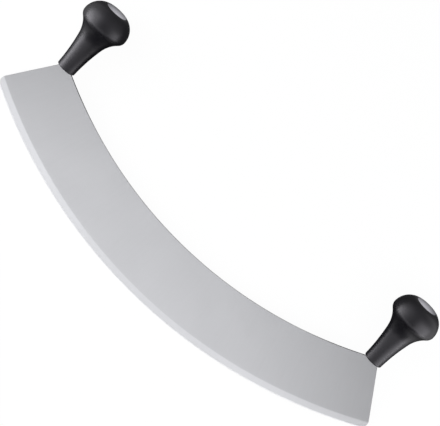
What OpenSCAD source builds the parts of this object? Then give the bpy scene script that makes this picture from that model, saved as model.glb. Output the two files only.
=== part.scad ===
// Two-handled rocking knife: one curved blade with a plastic knob on each end.
// It lies on a flat surface, on both knobs and the middle of its cutting edge.
// +X runs along the blade, +Y from the cutting edge to the knobs, and +Z up.

/* [Blade] */
// Straight distance between the two tips, before they are rounded
edge_chord = 400; // [360:1:430]
// Radius of the cutting edge's arc
edge_r = 409; // [395:1:440]
// Radius of the spine's arc
spine_r = 349; // [335:1:365]
// Height of the blade at its middle, from the cutting edge to the spine
blade_h = 57.1; // [50:0.1:64]
// Lean of each end towards the middle, in degrees from the vertical
end_lean = 34.6; // [30:0.1:38]
// Thickness of the sheet
blade_t = 2; // [1.4:0.1:2.6]
// Width of the ground bevel on each face
bevel_w = 5.8; // [4:0.1:9]
// Width of the honed strip along the cutting edge
hone_w = 0.7; // [0.4:0.1:1.2]
// Thickness of the sheet where the honed strip starts
hone_t = 0.6; // [0.3:0.1:0.8]
// Thickness left at the cutting edge
edge_t = 0.12; // [0.06:0.02:0.2]
// Radius of each tip
tip_r = 6; // [1:0.5:8]
// Width of the blade's corner where the handle stands on it
corner_w = 10.9; // [10:0.1:13]

/* [Tongue] */
// Width of the tongue that goes up into the handle
tongue_w = 8; // [7:0.1:9]
// Thickness of the tongue, pressed thinner than the sheet
tongue_t = 1.6; // [1:0.1:1.8]
// Length of the tongue above the handle's foot
tongue_l = 22; // [15:0.5:26]

/* [Handle] */
// Length of the plastic, from the handle's foot to the rim round the end cap
handle_l = 61.3; // [58:0.1:65]
// Distance of the handle's axis outside the middle of the blade's corner
handle_out = 0.1; // [-1:0.05:1]
// Diameter of the foot
foot_d = 16.2; // [15:0.1:17]
// Rounding of the foot's rim
foot_round = 0.9; // [0.3:0.1:1.5]
// Radius of the stem's slow sweep
stem_r = 160; // [140:1:200]
// Radius of the hollow under the knob
hollow_r = 25.7; // [24:0.1:28]
// Angle at which the hollow runs into the knob, in degrees from level
hollow_slope = 46.5; // [42:0.1:50]
// Radius of the turn under the knob's widest ring
shoulder_r = 6.1; // [5:0.1:7]
// Diameter of the knob's widest ring
knob_d = 41.2; // [39:0.1:43]
// Height of the knob's widest ring above the foot
knob_h = 47; // [45:0.1:48]
// Width of the plastic rim round the end cap
lip_w = 0.15; // [0.1:0.05:1]

/* [Bore] */
// Diameter of the hole for the stud
bore_d = 6.2; // [6.1:0.1:6.8]
// Height of the ledge that the washer presses on
ledge_h = 34; // [30:0.5:36]
// Diameter of the pocket above the ledge
pocket_d = 15.6; // [14.5:0.1:16]
// Play round the tongue, and of the end cap's disc in its seat
play = 0.1; // [0.05:0.05:0.2]

/* [Fasteners] */
// Diameter of the threaded stud
stud_d = 6; // [5:0.5:6]
// Length of the stud, which starts level with the handle's foot
stud_l = 44; // [43:0.5:50]
// Diameter of the flat washer
washer_d = 12.5; // [11:0.5:14]
// Thickness of the flat washer
washer_t = 1.6; // [1:0.1:2]
// Diameter of the spring washer
spring_d = 11; // [9.5:0.1:11.8]
// Thickness of the spring washer
spring_t = 1.6; // [1:0.1:2]
// Width of the cut in the spring washer
spring_gap = 1; // [0.5:0.1:2]
// Width of the nut across its flats
nut_af = 10; // [9:0.5:11]
// Height of the nut
nut_h = 5; // [4:0.1:5.5]

/* [End cap] */
// Diameter of the cap's disc
cap_d = 19.2; // [18:0.1:19.4]
// Thickness of the disc at its rim
cap_t = 1.2; // [0.8:0.1:1.6]
// Rounding of the disc's rim
cap_round = 0.3; // [0.1:0.1:0.5]
// Height of the disc's shallow dome over its rim
cap_dome = 0.4; // [0.2:0.1:0.8]
// Depth of the skirt that holds the cap in the pocket
skirt_h = 6; // [4:0.5:9]
// Wall of the skirt
skirt_wall = 1; // [0.6:0.1:1.5]

/* [Hidden] */
left = -1;
right = 1;
$fn = 180;
long_arc_fn = 1440;
past = 1;

// The two tips, where the cutting edge's arc meets the slanted ends
tip_x = edge_chord / 2;
tip_y = edge_r - sqrt(edge_r * edge_r - tip_x * tip_x);
end_slope = tan(end_lean);

// The foot stands where the corner between the end and the spine has its width
spine_centre_y = blade_h + spine_r;
corner_start = tip_x - corner_w - end_slope * (spine_centre_y - tip_y);
slope_sq = 1 + end_slope * end_slope;
corner_root = sqrt(slope_sq * spine_r * spine_r - corner_start * corner_start);
corner_drop = (corner_root - corner_start * end_slope) / slope_sq;
foot_y = spine_centre_y - corner_drop;
handle_x = corner_start + end_slope * corner_drop + corner_w / 2 + handle_out;

// A tip's round, tangent to the end line and to the cutting edge's arc
end_along = [-sin(end_lean), cos(end_lean)];
end_inward = [-cos(end_lean), -sin(end_lean)];
tip = [tip_x, tip_y];
round_from = tip + tip_r * end_inward - [0, edge_r];
round_pull = round_from * end_along;
round_gap = round_from * round_from - (edge_r - tip_r) * (edge_r - tip_r);
round_up = -round_pull - sqrt(round_pull * round_pull - round_gap);
round_centre = tip + tip_r * end_inward + round_up * end_along;
round_out = (round_centre - [0, edge_r]) / (edge_r - tip_r);

// The handle's outline as arcs, each tangent to the next, in radius and height
knob_r = knob_d / 2;
top_r = (cap_d + play) / 2 + lip_w;
crown_in = knob_r - top_r;
crown_h = handle_l - knob_h;
crown_r = (crown_in * crown_in + crown_h * crown_h) / (2 * crown_in);
crown_c = [knob_r - crown_r, knob_h];
shoulder_c = [knob_r - shoulder_r, knob_h];
hollow_c = shoulder_c + (shoulder_r + hollow_r) * [cos(hollow_slope), -sin(hollow_slope)];
foot_to_hollow = hollow_c - [foot_d / 2, 0];
stem_gap = stem_r - hollow_r;
stem_sum = stem_r * stem_r - stem_gap * stem_gap - foot_to_hollow * foot_to_hollow;
stem_turn = acos(stem_sum / (2 * stem_gap * norm(foot_to_hollow)))
    - atan2(foot_to_hollow.y, foot_to_hollow.x);
stem_c = hollow_c + stem_gap * [cos(stem_turn), -sin(stem_turn)];
stem_top = hollow_c + hollow_r * [-cos(stem_turn), sin(stem_turn)];
hollow_top = hollow_c + hollow_r * [-cos(hollow_slope), sin(hollow_slope)];
rim_reach = stem_r + foot_round;
rim_x = stem_c.x - sqrt(rim_reach * rim_reach - pow(foot_round - stem_c.y, 2));
rim_c = [rim_x, foot_round];
rim_out = (stem_c - rim_c) / rim_reach;

// Heights of the stacked fasteners above the foot
spring_low = ledge_h + washer_t;
nut_low = spring_low + spring_t;
seat_h = handle_l - cap_t;

// How the knife lies: the tangent from the knob to a point under the blade's middle
knob_y = foot_y + knob_h;
under = [[0, edge_t / 2], [hone_w, hone_t / 2], [bevel_w, blade_t / 2]];
function lie_angle(p) = let (a = knob_y - p[0], b = shoulder_c.x - p[1])
    asin(shoulder_r / norm([a, b])) + atan2(b, a);
lie = min([for (p = under) lie_angle(p)]);
lift = max([for (p = under) p[1] * cos(lie) - p[0] * sin(lie)]);
back_y = (foot_y + handle_l) * cos(lie) + top_r * sin(lie);
front_y = -edge_t / 2 * sin(lie);

module lying() {
    translate([0, -(back_y + front_y) / 2, lift]) rotate([lie, 0, 0]) children();
}

// Places a part that is drawn upright on the left or right end of the blade
module on_end(side) {
    lying() translate([side * handle_x, foot_y, 0]) rotate([-90, 0, 0]) children();
}

module tip_waste() {
    difference() {
        polygon([
            round_centre,
            round_centre - 2 * tip_r * end_inward,
            round_centre - 2 * tip_r * end_inward + 2 * tip_r * round_out,
            round_centre + 2 * tip_r * round_out
        ]);
        translate(round_centre) circle(r = tip_r);
    }
}

module blade_outline() {
    low_x = tip_x + (tip_y + past) * end_slope;
    high_x = tip_x - (foot_y - tip_y) * end_slope;
    difference() {
        polygon([
            [-low_x, -past],
            [low_x, -past],
            [high_x, foot_y],
            [-high_x, foot_y]
        ]);
        translate([0, spine_centre_y]) circle(r = spine_r, $fn = long_arc_fn);
        tip_waste();
        mirror([1, 0]) tip_waste();
    }
}

// A disc that thins towards its rim: the bevels and the honed strip of both faces
module ground_disc() {
    bevel_slope = (blade_t - hone_t) / 2 / (bevel_w - hone_w);
    grind_in = bevel_w + blade_t / 2 / bevel_slope;
    half = [
        [0, blade_t],
        [edge_r - grind_in, blade_t],
        [edge_r - hone_w, hone_t / 2],
        [edge_r, edge_t / 2]
    ];
    other = [for (i = [3:-1:0]) [half[i].x, -half[i].y]];
    translate([0, edge_r, 0]) rotate_extrude($fn = long_arc_fn) polygon(concat(half, other));
}

module tongue(side) {
    translate([side * handle_x - tongue_w / 2, foot_y - past, -tongue_t / 2])
        cube([tongue_w, tongue_l + past, tongue_t]);
}

module blade() {
    color([0.76, 0.76, 0.77]) lying() {
        intersection() {
            linear_extrude(height = blade_t, center = true) blade_outline();
            ground_disc();
        }
        tongue(left);
        tongue(right);
    }
}

// Round bar with a slot for the tongue, which is brazed into it
module tang_stud() {
    color([0.7, 0.7, 0.71]) difference() {
        cylinder(d = stud_d, h = stud_l);
        translate([-tongue_w / 2, -tongue_t / 2, -past]) cube([tongue_w, tongue_t, tongue_l + past]);
    }
}

module foot_waste() {
    difference() {
        polygon([
            rim_c,
            rim_c - [0, 2 * foot_round],
            rim_c + 2 * foot_round * (rim_out - [0, 1]),
            rim_c + 2 * foot_round * rim_out
        ]);
        translate(rim_c) circle(r = foot_round);
    }
}

module handle_outline() {
    difference() {
        polygon([[0, 0], [foot_d / 2, 0], stem_top, [0, stem_top.y]]);
        translate(stem_c) circle(r = stem_r, $fn = long_arc_fn);
        foot_waste();
    }
    difference() {
        polygon([[0, stem_top.y], stem_top, hollow_top, [0, hollow_top.y]]);
        translate(hollow_c) circle(r = hollow_r);
    }
    intersection() {
        translate(shoulder_c) circle(r = shoulder_r);
        translate([0, stem_top.y]) square([knob_r, knob_h - stem_top.y]);
    }
    polygon([[0, hollow_top.y], hollow_top, [knob_r, knob_h], [0, knob_h]]);
    intersection() {
        translate(crown_c) circle(r = crown_r);
        translate([0, knob_h]) square([knob_r, crown_h]);
    }
    translate([0, knob_h]) square([crown_c.x, crown_h]);
}

module handle() {
    color([0.13, 0.13, 0.14]) difference() {
        rotate_extrude() handle_outline();
        translate([0, 0, -past]) cylinder(d = bore_d, h = handle_l);
        translate([-tongue_w / 2 - play, -tongue_t / 2 - play, -past])
            cube([tongue_w + 2 * play, tongue_t + 2 * play, tongue_l + play + past]);
        translate([0, 0, ledge_h]) cylinder(d = pocket_d, h = handle_l);
        translate([0, 0, seat_h]) cylinder(d = cap_d + play, h = cap_t + past);
    }
}

module washer() {
    color([0.78, 0.78, 0.8]) translate([0, 0, ledge_h]) difference() {
        cylinder(d = washer_d, h = washer_t);
        translate([0, 0, -past]) cylinder(d = bore_d, h = washer_t + 2 * past);
    }
}

module spring_washer() {
    color([0.6, 0.6, 0.62]) translate([0, 0, spring_low]) difference() {
        cylinder(d = spring_d, h = spring_t);
        translate([0, 0, -past]) cylinder(d = bore_d, h = spring_t + 2 * past);
        translate([0, -spring_gap / 2, -past]) cube([spring_d, spring_gap, spring_t + 2 * past]);
    }
}

module nut() {
    corner_d = nut_af / cos(30);
    color([0.72, 0.72, 0.74]) translate([0, 0, nut_low]) difference() {
        cylinder(d = corner_d, h = nut_h, $fn = 6);
        translate([0, 0, -past]) cylinder(d = stud_d, h = nut_h + 2 * past);
    }
}

module end_cap() {
    disc_r = cap_d / 2;
    flat_r = disc_r - cap_round;
    skirt_r = pocket_d / 2;
    dome_r = (flat_r * flat_r + cap_dome * cap_dome) / (2 * cap_dome);
    color([0.63, 0.62, 0.66]) rotate_extrude() {
        translate([0, seat_h]) square([disc_r, cap_t - cap_round]);
        translate([0, seat_h]) square([flat_r, cap_t]);
        translate([flat_r, handle_l - cap_round]) circle(r = cap_round);
        translate([skirt_r - skirt_wall, seat_h - skirt_h]) square([skirt_wall, skirt_h]);
        intersection() {
            translate([0, handle_l + cap_dome - dome_r]) circle(r = dome_r, $fn = long_arc_fn);
            translate([0, handle_l - cap_round]) square([flat_r, cap_round + cap_dome]);
        }
    }
}

blade();
on_end(left) tang_stud();  // left_tang_stud
on_end(right) tang_stud();  // right_tang_stud
on_end(left) handle();  // left_handle
on_end(right) handle();  // right_handle
on_end(left) washer();  // left_washer
on_end(right) washer();  // right_washer
on_end(left) spring_washer();  // left_spring_washer
on_end(right) spring_washer();  // right_spring_washer
on_end(left) nut();  // left_nut
on_end(right) nut();  // right_nut
on_end(left) end_cap();  // left_end_cap
on_end(right) end_cap();  // right_end_cap
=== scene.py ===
# Mezzaluna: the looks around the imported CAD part. Named sizes are in millimetres, as in the CAD source,
# and Blender's own are in metres, in the frame that the part was packed in.
from math import acos, asin, atan2, cos, degrees, hypot, pi, radians, sin, sqrt, tan

import bmesh
import bpy
from mathutils import Matrix, Vector


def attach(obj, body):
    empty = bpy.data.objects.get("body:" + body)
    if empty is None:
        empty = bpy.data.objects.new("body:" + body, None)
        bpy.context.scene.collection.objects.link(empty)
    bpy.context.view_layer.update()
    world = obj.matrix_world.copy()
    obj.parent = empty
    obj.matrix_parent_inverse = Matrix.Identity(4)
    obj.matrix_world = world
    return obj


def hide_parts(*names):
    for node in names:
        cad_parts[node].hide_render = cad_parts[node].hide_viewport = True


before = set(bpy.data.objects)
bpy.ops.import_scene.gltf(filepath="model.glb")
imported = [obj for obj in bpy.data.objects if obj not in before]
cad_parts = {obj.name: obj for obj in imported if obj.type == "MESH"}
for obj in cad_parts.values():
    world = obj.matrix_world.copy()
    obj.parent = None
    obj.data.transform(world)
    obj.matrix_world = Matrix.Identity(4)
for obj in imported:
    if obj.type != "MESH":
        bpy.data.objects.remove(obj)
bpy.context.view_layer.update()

scene = bpy.context.scene
MM = 0.001
MICRON = 0.001 * MM

# Blade, as in the CAD source
EDGE_CHORD = 400            # straight distance between the two tips, before they are rounded
EDGE_R = 409                # radius of the cutting edge's arc
SPINE_R = 349               # radius of the spine's arc
BLADE_H = 57.1              # height at the middle, from the cutting edge to the spine
END_LEAN = radians(34.6)    # lean of each end towards the middle
BLADE_T = 2                 # thickness of the sheet
BEVEL_W = 5.8               # width of the ground bevel on each face
HONE_W = 0.7                # width of the honed strip along the cutting edge
HONE_T = 0.6                # thickness where the honed strip starts
EDGE_T = 0.12               # thickness left at the cutting edge
TIP_R = 6                   # radius of each tip
CORNER_W = 10.9             # width of the corner where the handle stands on it
TONGUE_W = 8
TONGUE_T = 1.6
TONGUE_L = 22               # above the handle's foot

# Handle and end cap, as in the CAD source
HANDLE_L = 61.3             # from the foot to the rim round the end cap
HANDLE_OUT = 0.1            # distance of the axis outside the middle of the blade's corner
FOOT_D = 16.2
FOOT_ROUND = 0.9            # rounding of the foot's rim
STEM_R = 160                # radius of the stem's slow sweep
HOLLOW_R = 25.7             # radius of the hollow under the knob
HOLLOW_SLOPE = radians(46.5)
SHOULDER_R = 6.1            # radius of the turn under the knob's widest ring
KNOB_R = 20.6
KNOB_H = 47                 # height of the knob's widest ring above the foot
LIP_W = 0.15                # plastic rim round the end cap
BORE_R = 3.1                # hole for the stud
LEDGE_H = 34                # height of the ledge that the washer presses on
POCKET_R = 7.8              # pocket above the ledge
PLAY = 0.1                  # round the tongue, and of the cap's disc in its seat
CAP_R = 9.6
CAP_T = 1.2                 # thickness of the disc at its rim
CAP_ROUND = 0.3             # rounding of the disc's rim
CAP_DOME = 0.4              # height of the disc's dome over its rim
SKIRT_H = 6                 # skirt that holds the cap in the pocket
SKIRT_WALL = 1

# The blade's outline, upright: x along it, y from the cutting edge to the knobs
EDGE_C = Vector((0, EDGE_R))
TIP = Vector((EDGE_CHORD / 2, EDGE_R - sqrt(EDGE_R ** 2 - EDGE_CHORD ** 2 / 4)))
SPINE_C = Vector((0, BLADE_H + SPINE_R))
END_SLOPE = tan(END_LEAN)
corner_start = TIP.x - CORNER_W - END_SLOPE * (SPINE_C.y - TIP.y)
slope_sq = 1 + END_SLOPE ** 2
corner_drop = (sqrt(slope_sq * SPINE_R ** 2 - corner_start ** 2) - corner_start * END_SLOPE) / slope_sq
FOOT_Y = SPINE_C.y - corner_drop
HANDLE_X = corner_start + END_SLOPE * corner_drop + CORNER_W / 2 + HANDLE_OUT
CORNER_OUT = TIP.x - (FOOT_Y - TIP.y) * END_SLOPE
CORNER_IN = CORNER_OUT - CORNER_W

# The tip's round, tangent to the end line and to the cutting edge's arc
END_ALONG = Vector((-sin(END_LEAN), cos(END_LEAN)))
END_INWARD = Vector((-cos(END_LEAN), -sin(END_LEAN)))
round_from = TIP + TIP_R * END_INWARD - EDGE_C
round_pull = round_from.dot(END_ALONG)
ROUND_UP = -round_pull - sqrt(round_pull ** 2 - round_from.dot(round_from) + (EDGE_R - TIP_R) ** 2)
ROUND_C = TIP + TIP_R * END_INWARD + ROUND_UP * END_ALONG

# The handle's outline as tangent arcs, in radius and height over the foot
TOP_R = CAP_R + PLAY / 2 + LIP_W
CROWN_IN = KNOB_R - TOP_R
CROWN_R = (CROWN_IN ** 2 + (HANDLE_L - KNOB_H) ** 2) / (2 * CROWN_IN)
CROWN_C = Vector((KNOB_R - CROWN_R, KNOB_H))
SHOULDER_C = Vector((KNOB_R - SHOULDER_R, KNOB_H))
HOLLOW_C = SHOULDER_C + (SHOULDER_R + HOLLOW_R) * Vector((cos(HOLLOW_SLOPE), -sin(HOLLOW_SLOPE)))
foot_to_hollow = HOLLOW_C - Vector((FOOT_D / 2, 0))
stem_gap = STEM_R - HOLLOW_R
stem_sum = STEM_R ** 2 - stem_gap ** 2 - foot_to_hollow.length_squared
STEM_TURN = (acos(stem_sum / (2 * stem_gap * foot_to_hollow.length))
             - atan2(foot_to_hollow.y, foot_to_hollow.x))
STEM_C = HOLLOW_C + stem_gap * Vector((cos(STEM_TURN), -sin(STEM_TURN)))
RIM_C = Vector((STEM_C.x - sqrt((STEM_R + FOOT_ROUND) ** 2 - (FOOT_ROUND - STEM_C.y) ** 2), FOOT_ROUND))
SEAT_H = HANDLE_L - CAP_T

# How the knife lies on the floor: on both knobs and on the lowest point of the bevel
knob_y = FOOT_Y + KNOB_H
bevel_points = ((0, EDGE_T / 2), (HONE_W, HONE_T / 2), (BEVEL_W, BLADE_T / 2))
LIE = min(asin(SHOULDER_R / hypot(knob_y - y, SHOULDER_C.x - z))
          + atan2(SHOULDER_C.x - z, knob_y - y) for y, z in bevel_points)
LIFT = max(z * cos(LIE) - y * sin(LIE) for y, z in bevel_points)
back_y = (FOOT_Y + HANDLE_L) * cos(LIE) + TOP_R * sin(LIE)
SHIFT_Y = -(back_y - EDGE_T / 2 * sin(LIE)) / 2
SHARP = radians(24)         # edges that turn by more than this stay sharp in the shading


def lying(x, y, z):
    """From the upright knife in millimetres to the shared frame in metres."""
    return Vector((x, y * cos(LIE) - z * sin(LIE) + SHIFT_Y, y * sin(LIE) + z * cos(LIE) + LIFT)) * MM


def new_object(name, verts, faces):
    """A mesh object in the scene."""
    mesh = bpy.data.meshes.new(name)
    mesh.from_pydata(verts, [], faces)
    thing = bpy.data.objects.new(name, mesh)
    scene.collection.objects.link(thing)
    return thing


def new_piece(name, verts, faces, grain, material):
    """A piece of the knife, with a 'grain' attribute that its material reads."""
    piece = new_object(name, verts, faces)
    mesh = piece.data
    bm = bmesh.new()
    bm.from_mesh(mesh)
    bmesh.ops.recalc_face_normals(bm, faces=bm.faces)
    bm.to_mesh(mesh)
    bm.free()
    layer = mesh.attributes.new("grain", "FLOAT_VECTOR", "POINT")
    for item, value in zip(layer.data, grain):
        item.vector = value
    mesh.shade_smooth()
    mesh.set_sharp_from_angle(angle=SHARP)
    mesh.materials.append(material)
    return piece


# Materials
class Nodes:
    """Short calls for building a node tree."""

    def __init__(self, tree):
        self.tree = tree
        tree.nodes.clear()

    def add(self, kind, **values):
        node = self.tree.nodes.new(kind)
        for key, value in values.items():
            setattr(node, key, value)
        return node

    def link(self, source, target):
        self.tree.links.new(source, target)

    def put(self, socket, value):
        if isinstance(value, bpy.types.NodeSocket):
            self.link(value, socket)
        else:
            socket.default_value = value

    def math(self, operation, *values):
        node = self.add("ShaderNodeMath", operation=operation)
        for socket, value in zip(node.inputs, values):
            self.put(socket, value)
        return node.outputs[0]

    def largest(self, first, *others):
        for other in others:
            first = self.math("MAXIMUM", first, other)
        return first

    def weighted(self, *pairs):
        """The sum of values, each times its weight."""
        parts = [self.math("MULTIPLY", value, weight) for value, weight in pairs]
        total = parts[0]
        for part in parts[1:]:
            total = self.math("ADD", total, part)
        return total

    def distance(self, a, b):
        """Length of the flat vector (a, b)."""
        return self.math("SQRT", self.math("ADD", self.math("POWER", a, 2), self.math("POWER", b, 2)))

    def ramp(self, value, low, high, out_low=0.0, out_high=1.0, kind="SMOOTHSTEP"):
        """From out_low to out_high while the value goes from low to high."""
        node = self.add("ShaderNodeMapRange", interpolation_type=kind)
        self.put(node.inputs["Value"], value)
        for name, number in zip(("From Min", "From Max", "To Min", "To Max"),
                                (low, high, out_low, out_high)):
            self.put(node.inputs[name], number)
        return node.outputs[0]

    def noise(self, vector, scale, detail, rough, stretch=(1, 1, 1)):
        """Noise with about as many cells per unit of the vector as the scale times the stretch."""
        mapping = self.add("ShaderNodeMapping")
        self.put(mapping.inputs["Vector"], vector)
        mapping.inputs["Scale"].default_value = stretch
        node = self.add("ShaderNodeTexNoise")
        self.link(mapping.outputs[0], node.inputs["Vector"])
        node.inputs["Scale"].default_value = scale
        node.inputs["Detail"].default_value = detail
        node.inputs["Roughness"].default_value = rough
        return node.outputs[0]

    def mix(self, factor, a, b):
        node = self.add("ShaderNodeMix", data_type="RGBA")
        self.put(node.inputs[0], factor)
        self.put(node.inputs[6], a)
        self.put(node.inputs[7], b)
        return node.outputs[2]

    def bump(self, height, distance, strength):
        node = self.add("ShaderNodeBump")
        node.inputs["Strength"].default_value = strength
        node.inputs["Distance"].default_value = distance
        self.put(node.inputs["Height"], height)
        return node.outputs[0]

    def grain(self):
        return self.add("ShaderNodeAttribute", attribute_name="grain").outputs["Vector"]

    def place(self):
        return self.add("ShaderNodeTexCoord").outputs["Object"]

    def split(self, vector):
        node = self.add("ShaderNodeSeparateXYZ")
        self.link(vector, node.inputs[0])
        return node.outputs


def new_material(name, metallic):
    """A material with its node calls and its shader."""
    material = bpy.data.materials.new(name)
    material.use_nodes = True
    n = Nodes(material.node_tree)
    shader = n.add("ShaderNodeBsdfPrincipled")
    shader.inputs["Metallic"].default_value = metallic
    n.link(shader.outputs[0], n.add("ShaderNodeOutputMaterial").inputs[0])
    return material, n, shader


def grey(value, tint=(1, 1, 1)):
    """A colour of one brightness, slightly tinted."""
    return (value * tint[0], value * tint[1], value * tint[2], 1)


def blade_steel():
    """Satin steel, ground in fine lines from the edge towards the spine, with a painted highlight in its
    colour: brighter over the bevel, brightest on the honed strip.
    """
    tint = (0.995, 0.991, 1.004)
    material, n, shader = new_material("ground_blade_steel", 1)
    grain = n.grain()
    from_edge = n.split(grain)[1]
    lines = n.noise(grain, 1, 3, 0.6, (5200, 90, 1))
    broad = n.noise(grain, 1, 2, 0.5, (420, 26, 1))
    cloud = n.noise(grain, 24, 3, 0.55)
    # Painted highlight along the edge: the colour rises over the bevel and to about white on the honed
    # strip
    bevel = n.ramp(from_edge, (BEVEL_W - 0.6) * MM, (BEVEL_W + 0.6) * MM, 1, 0)
    honed = n.ramp(from_edge, (HONE_W - 0.1) * MM, (HONE_W + 0.1) * MM, 1, 0)
    tone = n.weighted((lines, 0.08), (broad, 0.04), (cloud, 0.1), (bevel, 0.27), (honed, 0.53))
    n.link(n.mix(tone, grey(0.54, tint), grey(1.035, tint)), shader.inputs["Base Color"])
    rough = n.weighted((n.ramp(cloud, 0.3, 0.7, 0.30, 0.34), 1), (lines, 0.04), (honed, -0.05))
    n.link(rough, shader.inputs["Roughness"])
    n.link(n.bump(n.weighted((lines, 1), (broad, 0.5)), 4 * MICRON, 0.5), shader.inputs["Normal"])
    return material


def black_plastic():
    """Smooth moulded plastic with a very fine, soft mould texture."""
    material, n, shader = new_material("moulded_black_plastic", 0)
    place = n.place()
    fine = n.noise(place, 2600, 2, 0.55)
    soft = n.noise(place, 260, 3, 0.5)
    cloud = n.noise(place, 45, 2, 0.5)
    tone = n.weighted((soft, 0.5), (cloud, 0.5))
    base = n.mix(n.ramp(tone, 0.35, 0.65), (0.0020, 0.0019, 0.0032, 1), (0.0030, 0.0029, 0.0046, 1))
    n.link(base, shader.inputs["Base Color"])
    rough = n.weighted((n.ramp(tone, 0.35, 0.65, 0.34, 0.39), 1), (fine, 0.03))
    n.link(rough, shader.inputs["Roughness"])
    shader.inputs["Specular Tint"].default_value = (1.01, 0.975, 1.02, 1)
    n.link(n.bump(n.weighted((fine, 0.35), (soft, 1)), 12 * MICRON, 0.6), shader.inputs["Normal"])
    return material


def cap_metal():
    """Bright metal with fine rings, as from spin brushing."""
    material, n, shader = new_material("brushed_cap_metal", 1)
    grain = n.grain()
    rings = n.noise(grain, 1, 3, 0.6, (9000, 1.5, 1.5))
    cloud = n.noise(grain, 1, 2, 0.5, (300, 1.2, 1.2))
    tone = n.weighted((rings, 0.6), (cloud, 0.4))
    base = n.mix(n.ramp(tone, 0.3, 0.7), (0.68, 0.665, 0.74, 1), (0.87, 0.855, 0.945, 1))
    n.link(base, shader.inputs["Base Color"])
    n.link(n.ramp(tone, 0.3, 0.7, 0.17, 0.24), shader.inputs["Roughness"])
    n.link(n.bump(rings, 6 * MICRON, 0.5), shader.inputs["Normal"])
    return material


def fastener_steel():
    """Bright steel of the stud, washers and nuts, with fine machining marks."""
    material, n, shader = new_material("machined_steel", 1)
    place = n.place()
    fine = n.noise(place, 1800, 3, 0.6)
    cloud = n.noise(place, 160, 2, 0.5)
    n.link(n.mix(n.ramp(cloud, 0.3, 0.7), grey(0.52), grey(0.66)), shader.inputs["Base Color"])
    n.link(n.ramp(fine, 0.3, 0.7, 0.28, 0.4), shader.inputs["Roughness"])
    n.link(n.bump(fine, 10 * MICRON, 0.5), shader.inputs["Normal"])
    return material


STEEL = blade_steel()
PLASTIC = black_plastic()
CAP_METAL = cap_metal()
FASTENER = fastener_steel()

# Blade
SOFT = 0.9          # half the width over which the bevel's inner border is rounded
ARRIS = 0.15        # broken corner along the spine and the ends
INNER_Z = TONGUE_T / 2 / (BLADE_T / 2 - ARRIS)
FOOT_SHARE = 0.94   # columns beyond this share run to the foot, the others to the spine
INNER_COLUMNS = 72  # on each side of the middle
BEVEL_DEPTHS = (0, 0.02, 0.09, 0.2, 0.4, 0.62, 0.7, 0.78, 1.1, 1.6, 2.3, 3.2, 4.2, 4.9)
SOFT_ROWS = 8       # over the rounded border
TOP_SHARES = [i / 10 for i in range(1, 10)] + [0.96]    # rows from there towards the spine


def half_thickness(d):
    """Half the sheet's thickness at a distance from the cutting edge."""
    if d < HONE_W:
        return (EDGE_T + (HONE_T - EDGE_T) * d / HONE_W) / 2
    slope = (BLADE_T - HONE_T) / 2 / (BEVEL_W - HONE_W)
    if d > BEVEL_W + SOFT:
        return BLADE_T / 2
    if d > BEVEL_W - SOFT:
        return BLADE_T / 2 - slope / 4 / SOFT * (BEVEL_W + SOFT - d) ** 2
    return HONE_T / 2 + slope * (d - HONE_W)


def end_angle(r):
    """Angle about the edge's centre at which an arc meets the end of the blade."""
    from_centre = TIP - EDGE_C
    pull = from_centre.dot(END_ALONG)
    along = -pull - sqrt(pull ** 2 - from_centre.length_squared + r * r)
    if along >= ROUND_UP:
        p = from_centre + along * END_ALONG
        return atan2(p.x, -p.y)
    reach = ROUND_C - EDGE_C
    near = (r * r - TIP_R ** 2 + reach.length_squared) / (2 * reach.length)
    side = sqrt(max(0, r * r - near * near))
    return atan2(reach.x, -reach.y) + atan2(side, near)


def blade_columns():
    """Shares of the half width from end to end, and the columns that carry each tongue."""
    inner = [FOOT_SHARE * i / INNER_COLUMNS for i in range(INNER_COLUMNS + 1)]
    tongue_in = (HANDLE_X - TONGUE_W / 2 - CORNER_IN) / CORNER_W
    tongue_out = (HANDLE_X + TONGUE_W / 2 - CORNER_IN) / CORNER_W
    tongue = [tongue_in, 0.35, 0.5, 0.65, tongue_out]
    corner = tongue + [0.975, 1 - ARRIS / CORNER_W, 1]
    half = inner + [FOOT_SHARE + (1 - FOOT_SHARE) * s for s in corner]
    columns = [-s for s in half[:0:-1]] + half
    first = len(half) - 1 + len(inner)
    right_tongue = [first + i for i in range(len(tongue))]
    left_tongue = [len(columns) - 1 - j for j in reversed(right_tongue)]
    return columns, (right_tongue, left_tongue)


def top_point(share):
    """Where a column ends: on the spine's arc, or on the level corner under the handle."""
    if abs(share) <= FOOT_SHARE + 1e-9:
        turn = asin(CORNER_IN / SPINE_R) * share / FOOT_SHARE
        return SPINE_C + SPINE_R * Vector((sin(turn), -cos(turn)))
    outward = (abs(share) - FOOT_SHARE) / (1 - FOOT_SHARE)
    return Vector(((CORNER_IN + outward * CORNER_W) * (1 if share > 0 else -1), FOOT_Y))


def blade_rows(columns):
    """Rows of (point, half thickness) from the cutting edge to the spine."""
    soft_half = SOFT_ROWS / 2
    depths = list(BEVEL_DEPTHS) + [BEVEL_W + SOFT * (i / soft_half - 1) for i in range(1, SOFT_ROWS + 1)]
    rows = []
    for d in depths:
        r = EDGE_R - d
        last = end_angle(r)
        rows.append([(EDGE_C + r * Vector((sin(last * s), -cos(last * s))), half_thickness(d))
                     for s in columns])
    lows = [point for point, half in rows[-1]]
    tops = [top_point(s) for s in columns]
    for share in TOP_SHARES:
        rows.append([(low.lerp(top, share), BLADE_T / 2) for low, top in zip(lows, tops)])
    rows.append([(low.lerp(top, 1 - ARRIS / (top - low).length), BLADE_T / 2)
                 for low, top in zip(lows, tops)])
    rows.append([(low.lerp(top, 1), BLADE_T / 2) for low, top in zip(lows, tops)])
    return rows


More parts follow.
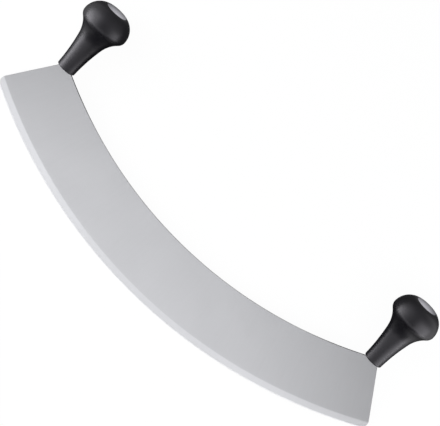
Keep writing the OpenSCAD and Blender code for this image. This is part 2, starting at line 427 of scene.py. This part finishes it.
def blade_mesh():
    """A grid of quads on each face, joined round the rim, with a tongue on each upper corner."""
    columns, tongues = blade_columns()
    rows = blade_rows(columns)
    count = len(columns)
    last_row = len(rows) - 1
    verts, grain, faces, index = [], [], [], {}

    def add(key, point, z):
        index[key] = len(verts)
        verts.append(lying(point.x, point.y, z))
        reach = point - EDGE_C
        grain.append((atan2(reach.x, -reach.y) * EDGE_R * MM, (EDGE_R - reach.length) * MM, z * MM))

    def quad(*keys):
        faces.append([index[key] for key in keys])

    def at_rim(i, j, half):
        """The half thickness, less the arris where the point is on the spine or an end."""
        on_rim = i == last_row or j in (0, count - 1)
        return half - min(ARRIS, 0.3 * half) if on_rim and i > 0 else half

    for i, line in enumerate(rows):
        for j, (point, half) in enumerate(line):
            for side in (1, -1):
                add((i, j, side), point, side * at_rim(i, j, half))
    for side in (1, -1):
        for i in range(last_row):
            for j in range(count - 1):
                quad((i, j, side), (i, j + 1, side), (i + 1, j + 1, side), (i + 1, j, side))

    rim = [(0, j) for j in range(count)] + [(i, count - 1) for i in range(1, last_row + 1)]
    rim += [(last_row, j) for j in range(count - 2, -1, -1)] + [(i, 0) for i in range(last_row - 1, 0, -1)]
    for i, j in rim:
        point, half = rows[i][j]
        for side in (1, -1):
            add((i, j, 2 * side), point, side * INNER_Z * at_rim(i, j, half))
    for (a, b), (c, d) in zip(rim, rim[1:] + rim[:1]):
        under_tongue = a == c == last_row and any(b in cols and d in cols for cols in tongues)
        for low, high in ((1, 2), (2, -2), (-2, -1)):
            if not (under_tongue and low == 2):
                quad((a, b, low), (c, d, low), (c, d, high), (a, b, high))

    for cols in tongues:
        for j in cols:
            x = rows[last_row][j][0].x
            for side in (1, -1):
                add(("top", j, side), Vector((x, FOOT_Y + TONGUE_L)), side * TONGUE_T / 2)
        for j, k in zip(cols, cols[1:]):
            for side in (1, -1):
                quad((last_row, j, 2 * side), (last_row, k, 2 * side), ("top", k, side), ("top", j, side))
            quad(("top", j, 1), ("top", k, 1), ("top", k, -1), ("top", j, -1))
        for j in (cols[0], cols[-1]):
            quad((last_row, j, 2), ("top", j, 1), ("top", j, -1), (last_row, j, -2))
    return verts, faces, grain


blade = new_piece("ground_blade", *blade_mesh(), STEEL)

# Turned pieces
TURNS = 192


def arc(centre, radius, start, end, steps):
    """Points on an arc, from one angle to another, in degrees."""
    return [centre + radius * Vector((cos(radians(start + (end - start) * i / steps)),
                                      sin(radians(start + (end - start) * i / steps))))
            for i in range(steps + 1)]


def joined(*runs):
    """One outline from several runs, without doubled points."""
    line = []
    for run in runs:
        for point in run:
            point = Vector(point)
            if not line or (point - line[-1]).length > 1e-4:
                line.append(point)
    return line


def lathe(outline, side):
    """A closed loop of (radius, height), turned about a handle's axis."""
    verts, grain, faces, rows = [], [], [], []
    for point in outline:
        row = []
        turns = 1 if point.x < 1e-6 else TURNS
        for k in range(turns):
            a = 2 * pi * k / TURNS
            row.append(len(verts))
            verts.append(lying(side * HANDLE_X + point.x * sin(a), FOOT_Y + point.y, point.x * cos(a)))
            grain.append((point.x * MM, sin(a), cos(a)))
        rows.append(row)
    for low, high in zip(rows, rows[1:] + rows[:1]):
        if len(low) == len(high) == 1:
            continue
        for k in range(TURNS):
            m = (k + 1) % TURNS
            ring = [low[k % len(low)], low[m % len(low)], high[m % len(high)], high[k % len(high)]]
            faces.append(list(dict.fromkeys(ring)))
    return verts, faces, grain


def handle_outline():
    """From the foot up the outside to the knob's top, and down the pocket and the bore."""
    rim_out = STEM_C - RIM_C
    rim_end = degrees(atan2(rim_out.y, rim_out.x))
    stem_low = degrees(atan2(RIM_C.y - STEM_C.y, RIM_C.x - STEM_C.x))
    stem_high = 180 - degrees(STEM_TURN)
    hollow_end = 180 - degrees(HOLLOW_SLOPE)
    crown_end = degrees(atan2(HANDLE_L - KNOB_H, TOP_R - CROWN_C.x))
    seat_r = CAP_R + PLAY / 2
    return joined(
        [(BORE_R, 0), (RIM_C.x, 0)],
        arc(RIM_C, FOOT_ROUND, -90, rim_end, 8),
        arc(STEM_C, STEM_R, stem_low % 360, stem_high, 24),
        arc(HOLLOW_C, HOLLOW_R, stem_high, hollow_end, 22),
        arc(SHOULDER_C, SHOULDER_R, -degrees(HOLLOW_SLOPE), 0, 16),
        arc(CROWN_C, CROWN_R, 0, crown_end, 32),
        [(TOP_R, HANDLE_L), (seat_r, HANDLE_L), (seat_r, SEAT_H), (POCKET_R, SEAT_H),
         (POCKET_R, LEDGE_H), (BORE_R, LEDGE_H)])


def cap_outline():
    """From the disc's underside over the skirt, round the rim and up the dome."""
    flat_r = CAP_R - CAP_ROUND
    dome_r = (flat_r ** 2 + CAP_DOME ** 2) / (2 * CAP_DOME)
    dome_c = Vector((0, HANDLE_L + CAP_DOME - dome_r))
    dome_edge = degrees(atan2(HANDLE_L - dome_c.y, flat_r))
    skirt_low = SEAT_H - SKIRT_H
    return joined(
        [(0, SEAT_H), (POCKET_R - SKIRT_WALL, SEAT_H), (POCKET_R - SKIRT_WALL, skirt_low),
         (POCKET_R, skirt_low), (POCKET_R, SEAT_H), (CAP_R, SEAT_H)],
        arc(Vector((flat_r, HANDLE_L - CAP_ROUND)), CAP_ROUND, 0, dome_edge, 6),
        arc(dome_c, dome_r, dome_edge, 90, 20)[:-1],
        [(0, HANDLE_L + CAP_DOME)])


def cut_slot(handle, side):
    """The slot in the handle's foot that the blade's tongue goes up into."""
    wide, thick, high = TONGUE_W / 2 + PLAY, TONGUE_T / 2 + PLAY, TONGUE_L + PLAY
    corners = [lying(side * HANDLE_X + x, FOOT_Y + y, z)
               for x in (-wide, wide) for y in (-1, high) for z in (-thick, thick)]
    faces = [(0, 1, 3, 2), (4, 6, 7, 5), (0, 4, 5, 1), (2, 3, 7, 6), (0, 2, 6, 4), (1, 5, 7, 3)]
    cutter = new_object("slot_cutter", corners, faces)
    modifier = handle.modifiers.new("slot", "BOOLEAN")
    modifier.operation = "DIFFERENCE"
    modifier.solver = "EXACT"
    modifier.object = cutter
    bpy.context.view_layer.update()
    cut = bpy.data.meshes.new_from_object(handle.evaluated_get(bpy.context.evaluated_depsgraph_get()))
    handle.modifiers.clear()
    handle.data = cut
    bpy.data.objects.remove(cutter)
    handle.data.shade_smooth()
    handle.data.set_sharp_from_angle(angle=SHARP)


handles, caps = [], []
for word, side in (("left", -1), ("right", 1)):
    handle = new_piece(f"{word}_moulded_handle", *lathe(handle_outline(), side), PLASTIC)
    cut_slot(handle, side)
    cap = new_piece(f"{word}_brushed_end_cap", *lathe(cap_outline(), side), CAP_METAL)
    handles.append(handle)
    caps.append(cap)

# What each piece stands for
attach(blade, "root")
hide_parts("blade")
for word, handle, cap in zip(("left", "right"), handles, caps):
    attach(handle, "root")
    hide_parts(f"{word}_handle")
    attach(cap, "root")
    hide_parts(f"{word}_end_cap")
    for kind in ("tang_stud", "washer", "spring_washer", "nut"):
        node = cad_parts[f"{word}_{kind}"]
        node.data.materials.clear()
        node.data.materials.append(FASTENER)

# Floor
FLOOR_HALF = 6              # metres
PAPER_LIT = 0.25            # the floor's grey as it lights the object
PAPER_SEEN = 0.9            # the floor's grey where it shows the object's shadow
WHITE_SHARE = 0.96          # how much of the floor that is seen is plain white, without shadow

# Painted glow on the floor, seen only in what metal and plastic mirror, standing in for its lit parts:
# where each patch starts and ends, and how high it is
BESIDE_X = (188, 235)       # outside the handles
BESIDE_GLOW = (0.65, 0.95)  # on the left and on the right
LEFT_TO_RIGHT = (-200, 200)
SPINE_STRIP_IN = 5          # middle line of a strip, this far inside the spine's arc
SPINE_STRIP = (4, 10)       # distances from that line
SPINE_STRIP_X = (100, 145)  # fading towards the handles
SPINE_GLOW = 0.85
CAP_SPOT_Y = 100            # middle of a spot behind each end cap
CAP_SPOT = (4, 26)          # distances from that middle
CAP_GLOW = 0.6
BACK_Y = (30, 200)          # behind the knife
BACK_GLOW = 0.3


def lit_by_camera(n, lit, shown, seen_share, glossy_share):
    """Mixes a shader that lights the object with the plain one that is seen directly or in metal."""
    path = n.add("ShaderNodeLightPath")
    seen = n.largest(path.outputs["Is Camera Ray"], path.outputs["Is Transmission Ray"])
    seen = n.math("MULTIPLY", seen, seen_share)
    mirrored = n.math("MULTIPLY", path.outputs["Is Glossy Ray"], glossy_share)
    mix = n.add("ShaderNodeMixShader")
    n.put(mix.inputs[0], n.largest(seen, mirrored))
    n.link(lit, mix.inputs[1])
    n.link(shown, mix.inputs[2])
    return mix.outputs[0]


def painted_floor_glow(n):
    """Painted glow by place on the floor, seen only in what metal and plastic mirror; elsewhere the floor
    mirrors as black, a painted shade round the knife.
    """
    def metres(pair):
        return [size * MM for size in pair]

    x, y = n.split(n.place())[:2]
    off_middle = n.math("ABSOLUTE", x)
    beside = n.math("MULTIPLY", n.ramp(off_middle, *metres(BESIDE_X)),
                    n.ramp(x, *metres(LEFT_TO_RIGHT), *BESIDE_GLOW))
    from_middle = n.distance(x, n.math("SUBTRACT", y, lying(SPINE_C.x, SPINE_C.y, 0).y))
    from_strip = n.math("ABSOLUTE", n.math("SUBTRACT", from_middle, (SPINE_R - SPINE_STRIP_IN) * MM))
    behind = n.math("MULTIPLY", n.ramp(from_strip, *metres(SPINE_STRIP), SPINE_GLOW, 0),
                    n.ramp(off_middle, *metres(SPINE_STRIP_X), 1, 0))
    from_spot = n.distance(n.math("SUBTRACT", off_middle, HANDLE_X * MM),
                           n.math("SUBTRACT", y, CAP_SPOT_Y * MM))
    under_caps = n.ramp(from_spot, *metres(CAP_SPOT), CAP_GLOW, 0)
    far_back = n.ramp(y, *metres(BACK_Y), 0, BACK_GLOW, "LINEAR")
    return n.largest(beside, behind, under_caps, far_back)


def white_paper():
    """A floor that is seen as white, with a light shadow, and lights the object softly."""
    material = bpy.data.materials.new("white_paper")
    material.use_nodes = True
    n = Nodes(material.node_tree)
    camera_ray = n.add("ShaderNodeLightPath").outputs["Is Camera Ray"]
    paper = n.add("ShaderNodeBsdfDiffuse")
    n.link(n.mix(camera_ray, grey(PAPER_LIT), grey(PAPER_SEEN)), paper.inputs[0])
    glow = n.add("ShaderNodeEmission")
    # Mirrored rays see the painted glow patches and painted black shade, the camera plain white
    n.link(n.largest(camera_ray, painted_floor_glow(n)), glow.inputs[1])
    shader = lit_by_camera(n, paper.outputs[0], glow.outputs[0], WHITE_SHARE, 1)
    n.link(shader, n.add("ShaderNodeOutputMaterial").inputs[0])
    return material


floor_corners = [(x * FLOOR_HALF, y * FLOOR_HALF, 0) for x, y in ((-1, -1), (1, -1), (1, 1), (-1, 1))]
floor = new_object("floor", floor_corners, [(0, 1, 2, 3)])
floor.data.materials.append(white_paper())

# Room and lamps
LIGHT_TINT = (0.99, 1, 1.025)
# The room's bright sides: direction, cosine from it at which the light starts, strength in its middle
ROOM_SIDES = (
    ((-0.95, 0.1, 0.3), 0.4, 0.95),
    ((0.95, 0.1, 0.3), 0.4, 0.42),
    ((0, 0.64, 0.77), 0.2, 0.52),
)
LEFT_KNOB = (-165, 55, 20)
RIGHT_KNOB = (165, 55, 20)
MIDDLE = (0, 0, 0)
# Side lamps, which leave the blade out: name, place, aim, size and radiance
SIDE_LAMPS = (
    ("left_core", (-425, -16, 140), LEFT_KNOB, (190, 170), 2.6),
    ("left_low", (-480, -40, 110), LEFT_KNOB, (420, 200), 1.6),
    ("left_foot", (-480, -40, 24), LEFT_KNOB, (420, 40), 4),
    ("left_wide", (-520, 0, 240), LEFT_KNOB, (760, 560), 1.45),
    ("right_low", (440, -25, 108), RIGHT_KNOB, (370, 180), 1),
    ("right_core", (440, 8, 200), RIGHT_KNOB, (380, 400), 1.25),
    ("right_wide", (520, 10, 260), RIGHT_KNOB, (760, 640), 0.6),
    ("right_foot", (440, -120, 22), RIGHT_KNOB, (160, 36), 4),
)
PANEL_AWAY = 1000
PANEL_H = 300
LOW_TILT = 28       # panels at this tilt leave the handles out
# Front panels: name, turn from the front and tilt up in degrees, width and radiance
FRONT_PANELS = (
    ("front_left", -38, 44, 520, 1.05),
    ("front_middle", 0, 44, 560, 0.93),
    ("front_right", 38, 44, 520, 0.75),
    ("front_high", -3, 62, 650, 1.2),
    ("low_left", -32, LOW_TILT, 520, 0.95),
    ("low_middle", 0, LOW_TILT, 520, 0.95),
    ("low_right", 32, LOW_TILT, 520, 1.1),
)


def studio_room():
    """A dim room with brighter sides, which the camera sees as plain white."""
    world = bpy.data.worlds.new("studio")
    world.use_nodes = True
    n = Nodes(world.node_tree)
    toward = n.add("ShaderNodeTexCoord").outputs["Generated"]
    lobes = []
    for way, start, strength in ROOM_SIDES:
        along = n.add("ShaderNodeVectorMath", operation="DOT_PRODUCT")
        n.link(toward, along.inputs[0])
        along.inputs[1].default_value = Vector(way).normalized()
        lobes.append((n.ramp(along.outputs["Value"], start, 1, 0, strength), 1))
    room = n.add("ShaderNodeBackground")
    room.inputs[0].default_value = (*LIGHT_TINT, 1)
    n.link(n.weighted(*lobes), room.inputs[1])
    white = n.add("ShaderNodeBackground")
    white.inputs[0].default_value = grey(1)
    shader = lit_by_camera(n, room.outputs[0], white.outputs[0], 1, 0)
    n.link(shader, n.add("ShaderNodeOutputWorld").inputs[0])
    return world


def spared(name, pieces):
    """A collection of pieces that a lamp leaves out."""
    group = bpy.data.collections.new(name)
    for piece in pieces:
        group.objects.link(piece)
    for entry in group.collection_objects:
        entry.light_linking.link_state = "EXCLUDE"
    return group


def softbox(name, place, aim, size, radiance, spares):
    """A rectangular lamp, in millimetres, of a given radiance, turned to a point."""
    lamp = bpy.data.lights.new(name, "AREA")
    lamp.shape = "RECTANGLE"
    lamp.size = size[0] * MM
    lamp.size_y = size[1] * MM
    lamp.energy = radiance * pi * lamp.size * lamp.size_y
    lamp.color = LIGHT_TINT
    box = bpy.data.objects.new(name, lamp)
    scene.collection.objects.link(box)
    box.location = Vector(place) * MM
    box.rotation_euler = (Vector(aim) - Vector(place)).to_track_quat("-Z", "Y").to_euler()
    box.visible_camera = False
    box.light_linking.receiver_collection = spares


scene.world = studio_room()
SPARE_BLADE = spared("blade_left_out", [blade])
SPARE_HANDLES = spared("handles_left_out", handles)
for name, place, aim, size, radiance in SIDE_LAMPS:
    softbox(name, place, aim, size, radiance, SPARE_BLADE)
for name, turn, tilt, width, radiance in FRONT_PANELS:
    flat = PANEL_AWAY * cos(radians(tilt))
    place = (flat * sin(radians(turn)), -flat * cos(radians(turn)), PANEL_AWAY * sin(radians(tilt)))
    softbox(name, place, MIDDLE, (width, PANEL_H), radiance, SPARE_HANDLES if tilt == LOW_TILT else None)

# Camera, fitted to the outlines of the blade and the handles in the photograph
VIEW_TILT = radians(15.020) - LIE
VIEW_TURN = radians(-43.559)
VIEW_DISTANCE = 1630.37
VIEW_CENTRE = (0.175, 96.938, 0)    # on the upright knife
HALF_PX = 0.389                     # half a pixel of the photograph at the knife
FOCAL_PX = 2095.4
PHOTO_W = 440                       # pixels
SENSOR_W = 36


def photo_camera():
    """The camera at the photograph's place and turn."""
    across = Vector((0, cos(VIEW_TILT), -sin(VIEW_TILT)))
    back = Vector((0, sin(VIEW_TILT), cos(VIEW_TILT)))
    right = cos(VIEW_TURN) * Vector((1, 0, 0)) - sin(VIEW_TURN) * across
    up = sin(VIEW_TURN) * Vector((1, 0, 0)) + cos(VIEW_TURN) * across
    data = bpy.data.cameras.new("camera")
    data.sensor_width = SENSOR_W
    data.lens = FOCAL_PX * SENSOR_W / PHOTO_W
    data.clip_start = 0.05
    data.clip_end = 50
    camera = bpy.data.objects.new("camera", data)
    scene.collection.objects.link(camera)
    aim = lying(*VIEW_CENTRE) + (up - right) * HALF_PX * MM
    place = aim + back * VIEW_DISTANCE * MM
    camera.matrix_world = Matrix.Translation(place) @ Matrix((right, up, back)).transposed().to_4x4()
    return camera


scene.camera = photo_camera()
scene.view_settings.view_transform = "Standard"
